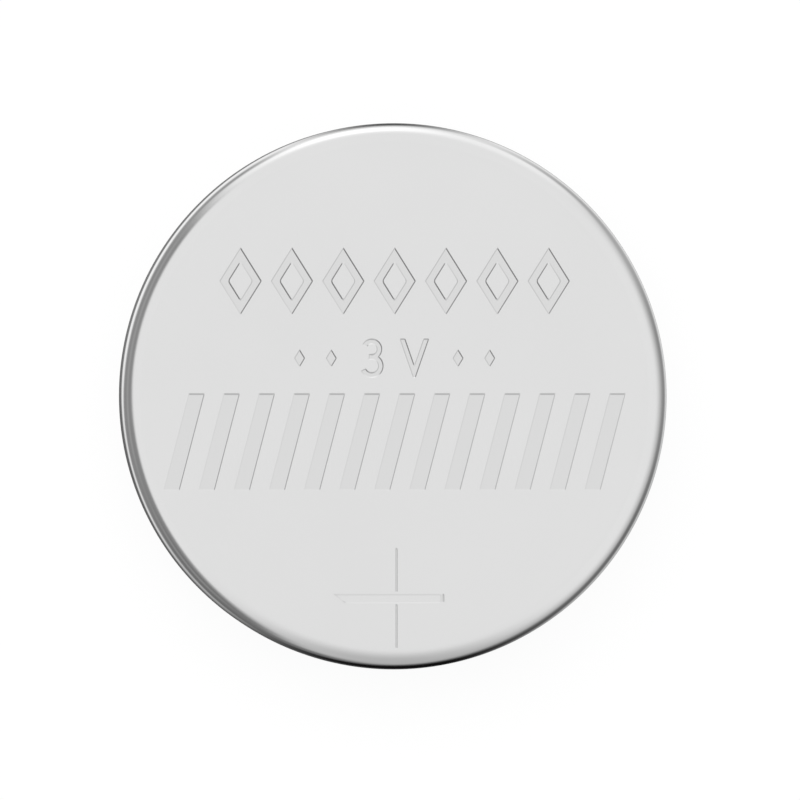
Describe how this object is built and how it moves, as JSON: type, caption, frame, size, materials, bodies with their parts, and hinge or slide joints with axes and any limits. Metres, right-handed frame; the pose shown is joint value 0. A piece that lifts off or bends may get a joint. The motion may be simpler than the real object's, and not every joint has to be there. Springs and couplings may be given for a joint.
{
  "type": "lithium coin cell",
  "caption": "Flat round steel-cased lithium coin cell lying plus face up, with a crimped edge round a gasket and a raised minus terminal below.",
  "frame": {"origin": "centre of the minus terminal's flat face, on the surface the cell lies on", "axes": "+Z up, from the minus terminal to the plus face; +Y is up and +X right in the picture"},
  "size_m": [0.01, 0.01, 0.0025],
  "materials": {
    "nickel_plated_can": "satin",
    "nickel_plated_cap": "satin",
    "polypropylene_gasket": "moulded",
    "lithium_metal": "dull",
    "nonwoven_separator": "felted",
    "manganese_dioxide_pellet": "pressed powder",
    "stainless_grid": "bright"
  },
  "bodies": {
    "root": {"positive_can": "nickel_plated_can", "sealing_gasket": "polypropylene_gasket", "negative_cap": "nickel_plated_cap", "lithium_anode": "lithium_metal", "separator": "nonwoven_separator", "cathode_pellet": "manganese_dioxide_pellet", "cathode_collector": "stainless_grid"}
  },
  "joints": []
}
